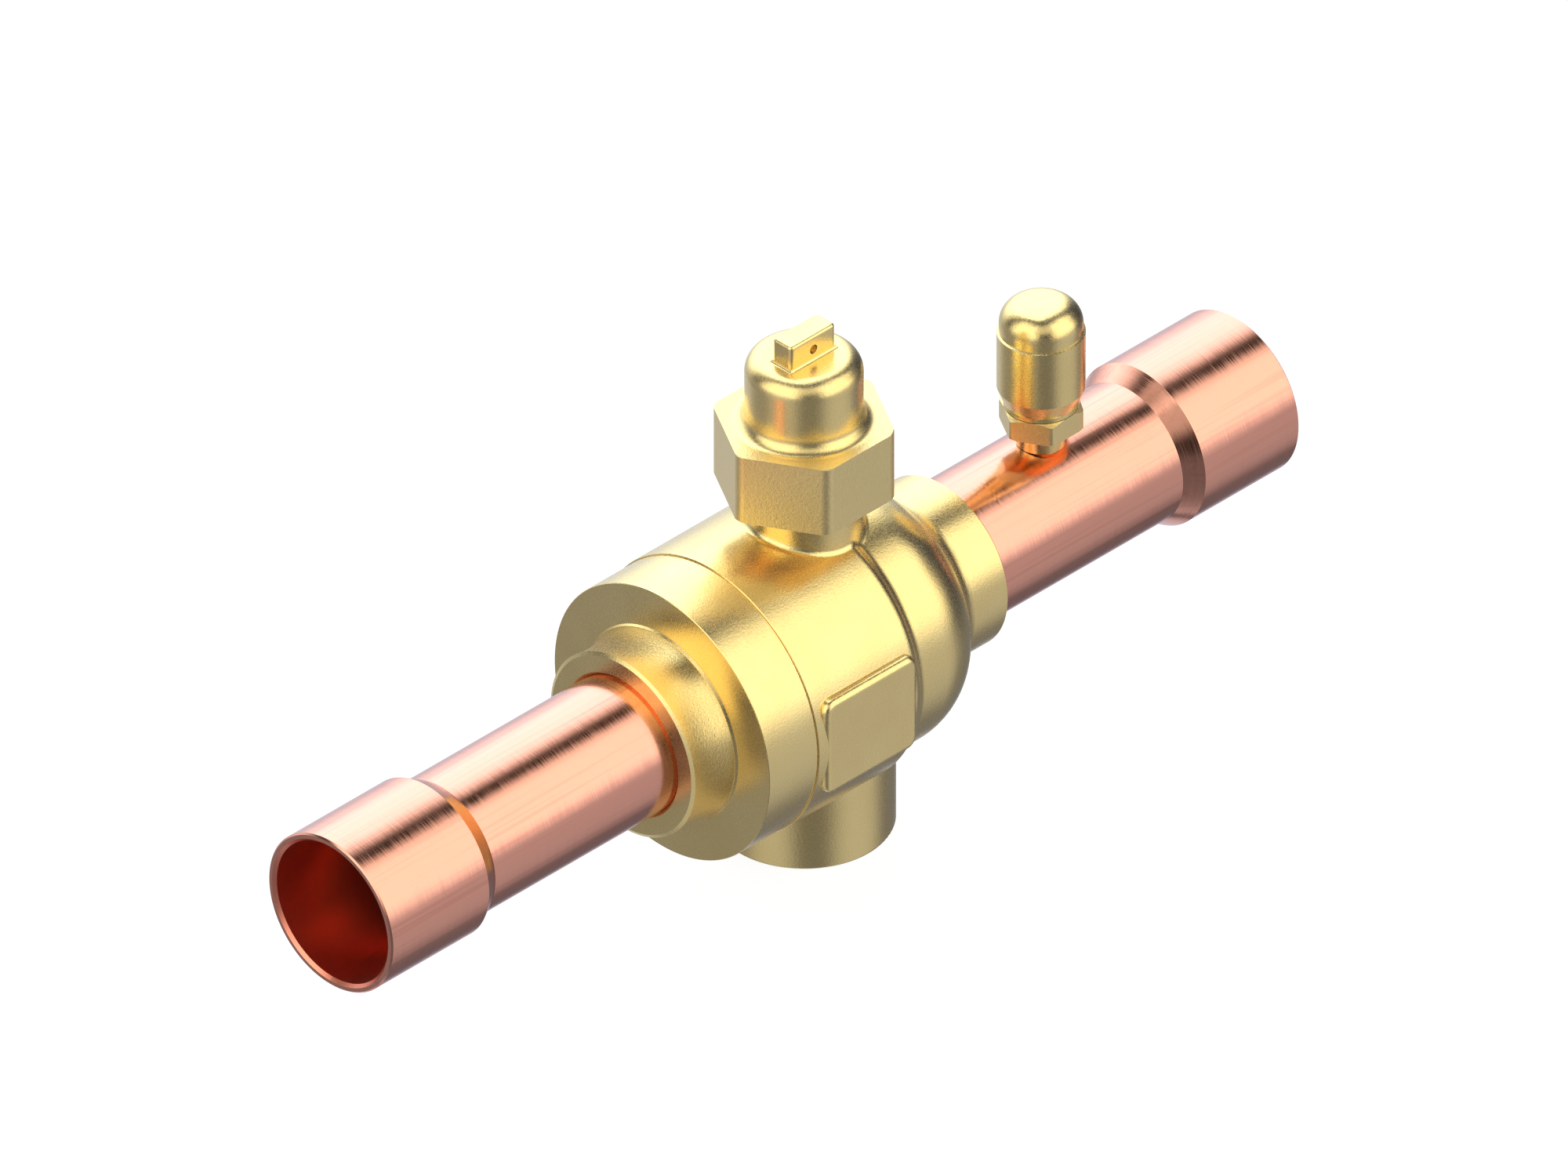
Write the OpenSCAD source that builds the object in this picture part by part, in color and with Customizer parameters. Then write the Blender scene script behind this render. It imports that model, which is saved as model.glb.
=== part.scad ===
// Shut-off ball valve: forged brass body, screwed end connector, brazed copper tubes with
// swaged sockets, sealed stem cap and a capped service port on the rear tube.
// Millimetres. X runs along the flow, Z up the stem. The origin is the centre of the
// bottom face of the mounting boss.

/* [Copper tubes] */
// Outside diameter of the tubes
tube_od = 28.0; // [27.6:0.1:28.4]
// Wall thickness of the tubes
tube_wall = 2.0; // [1.8:0.1:2.4]
// Bore of the swaged sockets that take the pipe
socket_bore = 28.7; // [28.2:0.1:29.2]
// Outside diameter of the front socket
front_socket_od = 32.0; // [31.4:0.1:33]
// Outside diameter of the rear socket
rear_socket_od = 32.5; // [31.4:0.1:33]
// Length of the front socket up to its cone
front_socket_len = 25.0; // [20:0.5:28]
// Length of the rear socket up to its cone
rear_socket_len = 24.2; // [20:0.5:28]
// Length of the swaged cones
cone_len = 3.6; // [2.5:0.1:6]
// Distance from the stem axis to the front tube end
front_reach = 122.1; // [112:0.1:140]
// Distance from the stem axis to the rear tube end
rear_reach = 111.5; // [108:0.1:130]
// Bevel inside the socket mouths
mouth_bevel = 0.6; // [0.3:0.1:0.9]

/* [Valve body] */
// Height of the flow axis above the bottom face of the boss
axis_height = 39.5; // [37:0.1:44]
// Outside diameter of the front part of the body
body_od = 56.1; // [55:0.1:58]
// Outside diameter of the body behind the step
waist_od = 52.2; // [51:0.1:53.2]
// Distance from the stem axis to the joint with the end connector
joint_x = 24.15; // [23.6:0.05:26]
// Start of the rounded step behind the stem axis
step_x = 0.7; // [-0.5:0.1:2]
// Length of the rounded step
step_len = 4.4; // [3.4:0.1:5]
// Start of the domed rear shoulder
shoulder_x = 11.06; // [10.6:0.02:13]
// Radius of the domed rear shoulder
shoulder_round = 14.26; // [13.6:0.02:15]
// Outside diameter of the rear collar
collar_od = 34.2; // [33.6:0.1:36]
// Distance from the stem axis to the end of the rear collar
collar_x = 35.8; // [33:0.1:40]
// Radius of the fillet at the foot of the collar
foot_round = 4.4; // [2:0.1:5]
// Diameter of the bottom mounting boss
boss_od = 33.6; // [32:0.1:36]
// Rounding of the bottom edge of the boss
boss_round = 0.6; // [0.3:0.1:1]
// Distance between the two mounting screw holes
screw_pitch = 20.0; // [18:0.5:22]
// Tapping drill diameter of the mounting screw holes
screw_hole_d = 5.0; // [4.2:0.1:5.5]
// Depth of the mounting screw holes
screw_hole_depth = 9.0; // [7:0.5:9.5]

/* [Rating plate pad] */
// Length of the raised pad along the flow
pad_len = 23.9; // [20:0.1:24.4]
// Height of the raised pad
pad_height = 20.4; // [17:0.1:21]
// Distance from the stem axis plane to the rear edge of the pad
pad_rear_x = 1.5; // [0.8:0.1:2.2]
// How far the pad face stands out past the body
pad_proud = 0.1; // [0.05:0.05:0.5]
// Corner radius of the pad outline
pad_corner = 2.6; // [2:0.1:4]
// Rounding of the pad edges
pad_round = 1.3; // [0.8:0.1:1.5]

/* [End connector] */
// How far the flange lies below the outside of the body
flange_step = 0.3; // [0.1:0.05:0.6]
// Thickness of the flange
flange_len = 12.45; // [12:0.05:14]
// Length of the tube hub in front of the flange
hub_len = 10.4; // [9.6:0.1:12]
// Diameter of the hub at its front face
hub_od = 37.3; // [36.6:0.1:38.4]
// Diameter of the hub at its foot
hub_foot_od = 38.4; // [37.8:0.1:40]
// Radius of the hollow flank of the hub
flank_round = 18.0; // [14:0.5:24]
// Width of the small step around the hub foot
foot_step = 0.45; // [0.3:0.05:1]
// Depth of the tube socket in the hub
hub_socket_depth = 17.0; // [14:0.5:18]
// Depth of the tube socket in the rear collar
collar_socket_depth = 11.8; // [10:0.1:12.4]
// Diameter of the screw thread between connector and body
joint_thread_d = 44.0; // [43.4:0.2:45]

/* [Ball and seats] */
// Diameter of the ball
ball_d = 37.0; // [36.4:0.1:37.6]
// Width of the drive slot in the ball
slot_w = 6.0; // [5:0.1:7]
// Material left between the drive slot and the flow bore
slot_floor = 2.0; // [1.6:0.1:2.6]
// Diameter of the pressure relief hole in the slot floor
relief_d = 2.0; // [1:0.1:3]
// Outside diameter of the seat rings
seat_od = 36.0; // [35.6:0.1:36.4]
// Thickness of a seat ring at its outside
seat_t = 5.5; // [5:0.1:5.8]
// Material of a seat ring behind its inner lip
seat_web = 3.2; // [2.8:0.1:3.6]
// Step from the flow bore to the inner lip of a seat
seat_lip = 0.3; // [0.2:0.05:0.6]
// Thickness of the elastic ring behind each seat
backup_d = 1.5; // [1.2:0.1:1.7]
// Mean diameter of the elastic ring behind each seat
backup_mean_d = 31.0; // [30:0.2:32]
// Thickness of the O-ring between connector and body
joint_ring_d = 2.2; // [1.8:0.1:2.4]

/* [Stem] */
// Diameter of the stem
stem_d = 12.0; // [11.6:0.1:12.6]
// Diameter of the stem shoulder inside the body
stem_shoulder_d = 17.0; // [16:0.1:18]
// Thickness of the stem shoulder
stem_shoulder_t = 3.0; // [2.4:0.1:3.4]
// Thickness of the thrust washer
thrust_t = 1.0; // [0.8:0.1:1.4]
// Length of the drive tongue across the slot
tongue_len = 12.0; // [10:0.2:13]
// Thickness of the stem O-rings
stem_ring_d = 1.8; // [1.5:0.1:2]
// Height of the lower stem O-ring above the flow axis
stem_ring_z = 27.5; // [26.8:0.1:28.5]
// Distance between the two stem O-rings
stem_ring_gap = 5.0; // [4:0.1:6]
// Width across flats of the stem square
square_af = 8.0; // [7.5:0.1:8.2]
// Top of the stem square above the flow axis
square_top = 56.0; // [54:0.1:57.5]
// Diameter of the stop pin
stop_pin_d = 2.5; // [2:0.1:3]
// Depth of the stop pin axis below the top face of the neck
stop_pin_drop = 2.3; // [2.1:0.1:2.8]

/* [Neck and seal cap] */
// Diameter of the neck under the seal cap
neck_od = 21.6; // [21.2:0.1:22.4]
// Underside of the seal cap above the flow axis
cap_z = 34.9; // [34.2:0.1:36]
// Outside diameter of the neck thread, whose ridge is not drawn
neck_thread_d = 19.9; // [19.5:0.1:20.1]
// Pitch of the neck thread
neck_pitch = 1.5; // [1.25:0.25:2]
// Top face of the neck above the flow axis
neck_top = 44.9; // [44:0.1:46]
// Width across flats of the seal cap
cap_af = 30.0; // [29:0.1:32]
// Height of the seal cap hexagon
cap_hex_len = 14.5; // [13:0.1:15.5]
// Rounding of the upright edges of the seal cap hexagon
cap_hex_round = 2.4; // [1.5:0.1:3]
// Outside diameter of the upper part of the seal cap
cap_od = 21.8; // [21.4:0.1:22.6]
// Radius of the fillet above the hexagon
cap_fillet = 2.5; // [2:0.1:3]
// Radius of the domed edge of the seal cap
cap_dome_round = 3.5; // [2.5:0.1:4]
// Flat top of the seal cap above the flow axis
cap_top = 63.7; // [62.5:0.1:66]
// Thickness of the closed top of the seal cap
cap_roof = 4.1; // [3.4:0.1:4.6]
// Diameter of the hollow above the cap thread
cap_hollow_d = 17.6; // [17:0.1:18]
// Thickness of the seal cap gasket
cap_gasket_t = 1.0; // [0.8:0.1:1.5]
// Length of the sealing tab
tab_len = 11.5; // [10:0.1:13]
// Thickness of the sealing tab
tab_t = 4.95; // [4:0.05:6]
// Height of the sealing tab
tab_height = 5.3; // [4.6:0.1:6]
// Diameter of the sealing wire hole
wire_hole_d = 1.9; // [1.5:0.1:2.2]
// Height of the sealing wire hole above the flat top
wire_hole_z = 2.4; // [2.1:0.1:2.8]

/* [Service port] */
// Distance from the stem axis to the port
port_x = 61.1; // [55:0.1:70]
// Diameter of the spigot brazed into the tube
spigot_d = 8.0; // [7:0.1:8.6]
// Diameter of the neck below the hexagon
port_neck_d = 9.3; // [9:0.1:10]
// Length of the neck below the hexagon
port_neck_len = 3.9; // [3:0.1:6]
// Width across flats of the port hexagon
port_af = 14.0; // [13.4:0.1:15]
// Height of the port hexagon
port_hex_len = 4.5; // [3.6:0.1:5]
// Rounding of the upright edges of the port hexagon
port_hex_round = 1.0; // [0.5:0.1:1.5]
// Outside diameter of the port thread
port_thread_d = 11.1; // [10.9:0.05:11.2]
// Pitch of the port thread
port_pitch = 1.27; // [1:0.01:1.5]
// Length of the port above its hexagon
port_len = 14.9; // [14.3:0.1:16]
// Diameter of the threaded bore that takes the valve core
core_bore_d = 5.2; // [5:0.05:5.4]
// Diameter of the chamber below the core seat
core_chamber_d = 4.2; // [4:0.05:4.4]
// Travel of the core pin when it is pressed
core_travel = 1.0; // [0.6:0.1:1.2]
// Wire diameter of the core spring
spring_wire_d = 0.28; // [0.2:0.02:0.32]
// Number of turns of the core spring
spring_turns = 8; // [6:1:10]

/* [Port cap] */
// Outside diameter of the port cap
port_cap_od = 16.34; // [16:0.02:17]
// Outside diameter of the port cap at its open end
port_cap_rim_od = 13.9; // [13.4:0.1:14.6]
// Outside diameter of the port cap above its ledge
port_cap_top_od = 15.54; // [15:0.02:15.8]
// Clearance between the port hexagon and the port cap
port_cap_gap = 0.1; // [0.05:0.05:0.5]
// Overall length of the port cap
port_cap_len = 22.2; // [21:0.1:24]
// Height of the ledge above the open end
port_ledge_z = 16.0; // [14:0.1:16.5]
// Height of the taper above the open end
port_taper_z = 4.0; // [3:0.1:5]
// Radius of the domed edge of the port cap
port_dome_round = 4.5; // [3.5:0.1:5]
// Thickness of the port cap gasket
port_gasket_t = 1.0; // [0.8:0.1:1.3]

/* [Fits] */
// Radial clearance of brazed tubes in their sockets
braze_gap = 0.05; // [0.03:0.01:0.1]
// Radial clearance of turning parts
running_gap = 0.05; // [0.03:0.01:0.08]
// Clearance of parts that only lie in a pocket
loose_gap = 0.1; // [0.05:0.05:0.2]
// Clearance around the ball inside the body
ball_gap = 0.7; // [0.5:0.1:0.8]

/* [Hidden] */
$fn = 96;

brass = [0.80, 0.69, 0.42];
copper = [0.87, 0.60, 0.47];
chromed = [0.82, 0.83, 0.85];
steel = [0.66, 0.67, 0.69];
white_plastic = [0.93, 0.93, 0.90];
black_rubber = [0.10, 0.10, 0.11];

// Overlap that joins the pieces of one solid and lets cuts run past a face
eps = 0.5;

tube_r = tube_od / 2;
flow_r = tube_r - tube_wall;
body_r = body_od / 2;
waist_r = waist_od / 2;
collar_r = collar_od / 2;
boss_r = boss_od / 2;
flange_r = body_r - flange_step;
ball_r = ball_d / 2;
stem_r = stem_d / 2;
edge_break = 0.4;
fine_break = 0.12;

// Ball, seats and the pockets that hold them, as distances from the stem axis
seat_r = seat_od / 2;
seat_lip_r = flow_r + seat_lip;
seat_back = sqrt(pow(ball_r, 2) - pow(seat_lip_r, 2)) + seat_web;
seat_front = seat_back - seat_t;
pocket_r = seat_r + running_gap;
pocket_lip = 0.4;
cavity_r = ball_r + ball_gap;
joint_thread_r = joint_thread_d / 2;
nose_gap = 0.6;
backup_mean_r = backup_mean_d / 2;
joint_ring_r = joint_thread_r + joint_ring_d / 2 + running_gap;

// Stem, washer and neck, as heights above the flow axis
shoulder_bottom = ball_r + 0.4;
shoulder_top = shoulder_bottom + stem_shoulder_t;
stem_ceiling = shoulder_top + thrust_t + running_gap;
stem_pocket_r = stem_shoulder_d / 2 + loose_gap;
stem_bore_r = stem_r + running_gap;
slot_bottom = flow_r + slot_floor;
groove_r = stem_r + 0.02 - stem_ring_d;
groove_w = stem_ring_d + 0.5;
pin_z = neck_top - stop_pin_drop;
pin_reach = 7.7;
stop_r = pin_reach + 0.2;
stop_depth = stop_pin_drop + stop_pin_d / 2 + 0.3;
neck_thread_r = neck_thread_d / 2;
neck_land_z = cap_z - 0.3;
square_z = neck_top + 1.5;

// Seal cap, as heights above the flow axis
cap_r = cap_od / 2;
cap_hex_top = cap_z + cap_hex_len;
gasket_top = neck_top + cap_gasket_t;
cap_bore_r = neck_thread_r + running_gap;
cap_hollow_r = cap_hollow_d / 2;

// Service port and its core, as heights above the flow axis
port_neck_z = tube_r + 0.1;
port_hex_z = port_neck_z + port_neck_len;
port_hex_top = port_hex_z + port_hex_len;
port_mouth = port_hex_top + port_len;
port_thread_r = port_thread_d / 2;
core_bore_r = core_bore_d / 2;
core_chamber_r = core_chamber_d / 2;
core_seat_z = port_mouth - 8.6;
core_seat_cone = 0.9;
core_head_z = core_seat_z + 2.4;
core_top = port_mouth - 1.1;
core_barrel_r = 1.75;
core_well_r = 1.25;
core_guide_r = 0.75;
core_well_z = core_seat_z - 2.6;
core_foot_z = core_well_z - 2.1;
core_pin_r = 0.55;
core_disc_r = 1.45;
core_disc_t = 0.75;
collar_z = core_top - 1.8;
spring_r = 0.86;

// Port cap, as heights above the flow axis
port_cap_z = port_hex_top + port_cap_gap;
port_cap_r = port_cap_od / 2;
port_cap_top_r = port_cap_top_od / 2;
port_cap_bore_r = port_thread_r + running_gap;
port_roof_z = port_mouth + port_gasket_t;

// Places things measured from the crossing of flow and stem axes
module at_axis() translate([0, 0, axis_height]) children();

// Turns a profile of (radius, position) points round the flow axis or round an upright axis
module turned_x() rotate([0, 90, 0]) rotate_extrude() children();
module turned_z() rotate_extrude() children();

// The bit between a square corner and the arc inscribed in it, corner at the origin
module corner_bit(r) difference() {
    square(r);
    translate([r, r]) circle(r);
}

// Rectangle with round corners, centred on the origin
module round_rect(w, h, r) {
    square([w - 2 * r, h], center = true);
    square([w, h - 2 * r], center = true);
    for (x = [-1, 1], y = [-1, 1])
        translate([x * (w / 2 - r), y * (h / 2 - r)]) circle(r, $fn = 48);
}

// Hexagon with round corners, one corner towards +X
module round_hexagon(af, r) {
    centre_r = (af / 2 - r) / cos(30);
    polygon([for (k = [0:5], s = [-30, 30]) centre_r * [cos(60 * k), sin(60 * k)]
        + r * [cos(60 * k + s), sin(60 * k + s)]]);
    for (k = [0:5]) rotate(60 * k) translate([centre_r, 0]) circle(r, $fn = 48);
}

// Block with round corners, its edges at both ends rounded too: two crossing bars and four posts
module round_block(w, d, h, corner, round) {
    x = w / 2 - corner;
    y = d / 2 - corner;
    rotate([90, 0, 90]) linear_extrude(2 * x, center = true) round_rect(d, h, round);
    rotate([90, 0, 0]) linear_extrude(2 * y, center = true) round_rect(w, h, round);
    for (sx = [-1, 1], sy = [-1, 1]) translate([sx * x, sy * y, 0]) turned_z() intersection() {
        round_rect(2 * corner, h, round);
        translate([0, -h / 2]) square([corner, h]);
    }
}

// Hexagonal prism whose corners are chamfered at both ends as on a turned nut
module nut_prism(af, r, len, foot_bevel, top_bevel) {
    corner_r = (af / 2 - r) / cos(30) + r;
    slope = tan(30);
    intersection() {
        linear_extrude(len) round_hexagon(af, r);
        turned_z() polygon([
            [0, 0], [corner_r - foot_bevel, 0], [corner_r, foot_bevel * slope],
            [corner_r, len - top_bevel * slope], [corner_r - top_bevel, len], [0, len]
        ]);
    }
}

// Outline points of a sharp thread cut into a shaft of radius r, from height z upwards
function thread_points(r, pitch, z, turns) = [
    for (k = [0 : turns - 1], p = [[0, 0], [0.35, 0.61], [0.52, 0.61], [0.87, 0]])
        [r - p[1] * pitch, z + (k + p[0]) * pitch]
];

// Solid ring of round section round an upright axis
module o_ring(mean_r, section_d) turned_z() translate([mean_r, 0]) circle(d = section_d, $fn = 32);

// Points of an arc from angle a0 to angle a1
function arc_points(centre, r, a0, a1, n = 7) = [
    for (k = [0 : n]) let (a = a0 + (a1 - a0) * k / n) centre + r * [cos(a), sin(a)]
];

// Outer form of the body before it is bored: step, domed shoulder and filleted collar
module body_outline() {
    step_h = body_r - waist_r;
    step_round = (pow(step_len, 2) + pow(step_h, 2)) / (4 * step_h);
    step_end = step_x + step_len;
    swing = asin(step_len / 2 / step_round);
    shoulder_c = [waist_r - shoulder_round, shoulder_x];
    reach = shoulder_round + foot_round;
    foot_c = [collar_r + foot_round,
        shoulder_x + sqrt(pow(reach, 2) - pow(collar_r + foot_round - shoulder_c[0], 2))];
    touch = shoulder_c + shoulder_round / reach * (foot_c - shoulder_c);
    difference() {
        union() {
            polygon(concat(
                [[0, -joint_x], [body_r - fine_break, -joint_x], [body_r, -joint_x + fine_break]],
                arc_points([body_r - step_round, step_x], step_round, 0, swing),
                arc_points([waist_r + step_round, step_end], step_round, 180 + swing, 180),
                [[waist_r, shoulder_x], touch, [collar_r, foot_c[1]],
                    [collar_r, collar_x - edge_break], [collar_r - edge_break, collar_x],
                    [0, collar_x]]
            ));
            intersection() {
                translate(shoulder_c) circle(shoulder_round);
                translate(shoulder_c) square(shoulder_round);
            }
        }
        translate(foot_c) circle(foot_round);
    }
}

// Everything that is bored into the body along the flow axis
module body_bores() {
    ring_seat = joint_x - joint_ring_d - 2 * loose_gap;
    polygon([
        [0, -joint_x - eps],
        [joint_ring_r + joint_ring_d / 2 + running_gap, -joint_x - eps],
        [joint_ring_r + joint_ring_d / 2 + running_gap, -ring_seat],
        [joint_thread_r, -ring_seat], [joint_thread_r, pocket_lip + nose_gap - seat_front],
        [cavity_r, pocket_lip + nose_gap - seat_front], [cavity_r, seat_front + pocket_lip],
        [pocket_r, seat_front + pocket_lip], [pocket_r, seat_back],
        [flow_r, seat_back], [flow_r, collar_x - collar_socket_depth],
        [tube_r + braze_gap, collar_x - collar_socket_depth],
        [tube_r + braze_gap, collar_x + eps], [0, collar_x + eps]
    ]);
    backup_groove(1);
}

// Groove for the elastic ring in the floor of a seat pocket, side is +1 rear or -1 front
module backup_groove(side) {
    groove = backup_d + running_gap;
    translate([backup_mean_r - groove / 2, side > 0 ? seat_back - eps : -seat_back - groove])
        square([groove, groove + eps]);
}

// Flat pad with round corners and edges on the -Y side of the body
module plate_pad() {
    depth = 8;
    translate([pad_rear_x - pad_len / 2, -body_r - pad_proud + depth / 2, 0]) rotate([90, 0, 0])
        round_block(pad_len, pad_height, depth, pad_corner, pad_round);
}

// Two opposed quarter slots in the top of the neck, where the stop pin swings from open to shut
module stop_slots() {
    half = stop_pin_d / 2 + loose_gap;
    span = 2 * stop_r;
    translate([0, 0, neck_top - stop_depth]) linear_extrude(stop_depth + eps) intersection() {
        circle(stop_r);
        union() {
            for (a = [45, 135]) rotate(a) square([2 * span, 2 * half], center = true);
            for (s = [-1, 1]) polygon([[0, 0], [span, s * span], [-span, s * span]]);
        }
    }
}

// Neck whose threaded end is drawn at the root of the thread
module neck() {
    root_r = neck_thread_r - 0.61 * neck_pitch;
    turned_z() polygon([
        [0, 0], [neck_od / 2, 0], [neck_od / 2, neck_land_z - edge_break],
        [neck_od / 2 - edge_break, neck_land_z], [root_r, neck_land_z],
        [root_r, neck_top - 0.3], [root_r - 0.3, neck_top], [0, neck_top]
    ]);
}

module boss() {
    translate([0, 0, -axis_height]) turned_z() difference() {
        square([boss_r, axis_height - body_r / 2]);
        translate([boss_r, 0]) rotate(90) corner_bit(boss_round);
    }
}

module valve_body() color(brass) at_axis() difference() {
    union() {
        turned_x() body_outline();
        neck();
        boss();
        plate_pad();
    }
    turned_x() body_bores();
    cylinder(r = stem_pocket_r, h = stem_ceiling);
    cylinder(r = stem_bore_r, h = neck_top + eps);
    stop_slots();
    for (x = [-1, 1]) translate([x * screw_pitch / 2, 0, -axis_height - eps])
        cylinder(d = screw_hole_d, h = screw_hole_depth + eps, $fn = 48);
}

module end_connector() {
    face_x = -joint_x - flange_len;
    hub_x = face_x - hub_len;
    nose_x = pocket_lip - seat_front;
    bevel = edge_break;
    front = [hub_od / 2, hub_x + bevel];
    back = [hub_foot_od / 2, face_x - foot_step];
    chord = norm(back - front);
    side = [back[1] - front[1], front[0] - back[0]] / chord;
    flank = (front + back) / 2 + side * sqrt(pow(flank_round, 2) - pow(chord / 2, 2));
    color(brass) at_axis() turned_x() difference() {
        polygon([
            [0, hub_x], [hub_od / 2 - 0.7, hub_x], front, back,
            [back[0] + 0.15, back[1]], [back[0] + foot_step, face_x],
            [flange_r - fine_break, face_x], [flange_r, face_x + fine_break],
            [flange_r, -joint_x - fine_break], [flange_r - fine_break, -joint_x],
            [joint_thread_r - running_gap, -joint_x], [joint_thread_r - running_gap, nose_x - 0.5],
            [joint_thread_r - running_gap - 0.5, nose_x], [0, nose_x]
        ]);
        intersection() {
            translate(flank) circle(flank_round, $fn = 180);
            translate([0, front[1]]) square([flange_r, back[1] - front[1]]);
        }
        polygon([
            [0, hub_x - eps], [tube_r + 0.6, hub_x - eps], [tube_r + 0.6, hub_x],
            [tube_r + braze_gap, hub_x + 0.6],
            [tube_r + braze_gap, hub_x + hub_socket_depth], [flow_r, hub_x + hub_socket_depth],
            [flow_r, -seat_back], [pocket_r, -seat_back], [pocket_r, nose_x + eps],
            [0, nose_x + eps]
        ]);
        backup_groove(-1);
    }
}

// Tube with a swaged socket at one end, its plain end at 0 and its mouth at len
module swaged_tube(len, socket_od, socket_len) {
    socket_r = socket_od / 2;
    bore_r = socket_bore / 2;
    cone_x = len - socket_len - cone_len;
    polygon([
        [flow_r, 0], [tube_r, 0], [tube_r, cone_x], [socket_r, cone_x + cone_len],
        [socket_r, len - 0.3], [socket_r - 0.3, len], [bore_r + mouth_bevel, len],
        [bore_r, len - mouth_bevel], [bore_r, cone_x + cone_len], [flow_r, cone_x]
    ]);
}

module front_tube() {
    inner_end = joint_x + flange_len + hub_len - hub_socket_depth;
    color(copper) at_axis() mirror([1, 0, 0]) translate([inner_end, 0, 0])
        turned_x() swaged_tube(front_reach - inner_end, front_socket_od, front_socket_len);
}

module rear_tube() {
    inner_end = collar_x - collar_socket_depth;
    color(copper) at_axis() difference() {
        translate([inner_end, 0, 0])
            turned_x() swaged_tube(rear_reach - inner_end, rear_socket_od, rear_socket_len);
        translate([port_x, 0, 0]) cylinder(r = spigot_d / 2 + braze_gap, h = tube_r + eps);
    }
}

module joint_seal_ring() {
    color(black_rubber) at_axis() translate([-joint_x + joint_ring_d / 2 + loose_gap, 0, 0])
        rotate([0, 90, 0]) o_ring(joint_ring_r, joint_ring_d);
}

module ball() color(chromed) at_axis() difference() {
    sphere(ball_r);
    rotate([0, 90, 0]) cylinder(r = flow_r, h = ball_d + 2 * eps, center = true);
    translate([-slot_w / 2, -ball_r, slot_bottom]) cube([slot_w, ball_d, ball_r]);
    cylinder(d = relief_d, h = ball_r, $fn = 48);
}

// Plastic ring with a spherical face that the ball turns against, side is +1 rear or -1 front
module seat(side) {
    color(white_plastic) at_axis() mirror([side > 0 ? 0 : 1, 0, 0]) difference() {
        turned_x() polygon([
            [seat_lip_r, seat_front], [seat_r, seat_front], [seat_r, seat_back],
            [seat_lip_r, seat_back]
        ]);
        sphere(ball_r + running_gap);
    }
}

module front_seat() seat(-1);
module rear_seat() seat(1);

// Elastic ring that presses a seat against the ball
module seat_backup(side) {
    color(black_rubber) at_axis() translate([side * (seat_back + (backup_d + running_gap) / 2), 0, 0])
        rotate([0, 90, 0]) o_ring(backup_mean_r, backup_d);
}

module front_seat_ring() seat_backup(-1);
module rear_seat_ring() seat_backup(1);

module stem() color(steel) at_axis() difference() {
    union() {
        turned_z() polygon([
            [0, shoulder_bottom], [stem_shoulder_d / 2, shoulder_bottom],
            [stem_shoulder_d / 2, shoulder_top], [stem_r, shoulder_top],
            [stem_r, square_z], [0, square_z]
        ]);
        translate([0, 0, (slot_bottom + 0.3 + shoulder_bottom + eps) / 2])
            cube([slot_w - 2 * loose_gap, tongue_len, shoulder_bottom + eps - slot_bottom - 0.3],
                center = true);
        intersection() {
            translate([0, 0, (square_z - eps + square_top) / 2])
                cube([square_af, square_af, square_top - square_z + eps], center = true);
            turned_z() polygon([
                [0, square_z - eps], [stem_r, square_z - eps], [stem_r, square_top - 1.2],
                [stem_r - 2, square_top], [0, square_top]
            ]);
        }
    }
    for (k = [0, 1]) translate([0, 0, stem_ring_z + k * stem_ring_gap - groove_w / 2])
        turned_z() translate([groove_r, 0]) square([stem_r, groove_w]);
    translate([0, 0, pin_z]) rotate([90, 0, 45])
        cylinder(d = stop_pin_d, h = stem_d + 2 * eps, center = true, $fn = 48);
    translate([0, 0, square_top]) cube([square_af + eps, 1.4, 1.6], center = true);
}

module thrust_washer() {
    color(white_plastic) at_axis() translate([0, 0, shoulder_top]) turned_z()
        translate([stem_bore_r, 0]) square([stem_shoulder_d / 2 - stem_bore_r, thrust_t]);
}

module stem_o_ring(z) {
    color(black_rubber) at_axis() translate([0, 0, z]) o_ring(groove_r + stem_ring_d / 2, stem_ring_d);
}

module lower_stem_ring() stem_o_ring(stem_ring_z);
module upper_stem_ring() stem_o_ring(stem_ring_z + stem_ring_gap);

module stop_pin() {
    color(steel) at_axis() translate([0, 0, pin_z]) rotate([90, 0, 45])
        cylinder(d = stop_pin_d, h = 2 * pin_reach, center = true, $fn = 48);
}

// Flat tab with rounded edges and a hollow fillet round its foot, standing on z = 0
module sealing_tab() {
    round = 0.6;
    foot = 0.6;
    difference() {
        union() {
            translate([0, 0, (tab_height - eps) / 2])
                round_block(tab_len, tab_t, tab_height + eps, 0.85, round);
            translate([0, 0, -eps]) linear_extrude(foot + eps)
                round_rect(tab_len + 2 * foot, tab_t + 2 * foot, 1.0);
        }
        for (s = [-1, 1]) {
            translate([0, s * (tab_t / 2 + foot), foot]) rotate([0, 90, 0])
                cylinder(r = foot, h = 2 * tab_len, center = true, $fn = 32);
            translate([s * (tab_len / 2 + foot), 0, foot]) rotate([90, 0, 0])
                cylinder(r = foot, h = 2 * tab_t, center = true, $fn = 32);
        }
    }
}

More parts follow.
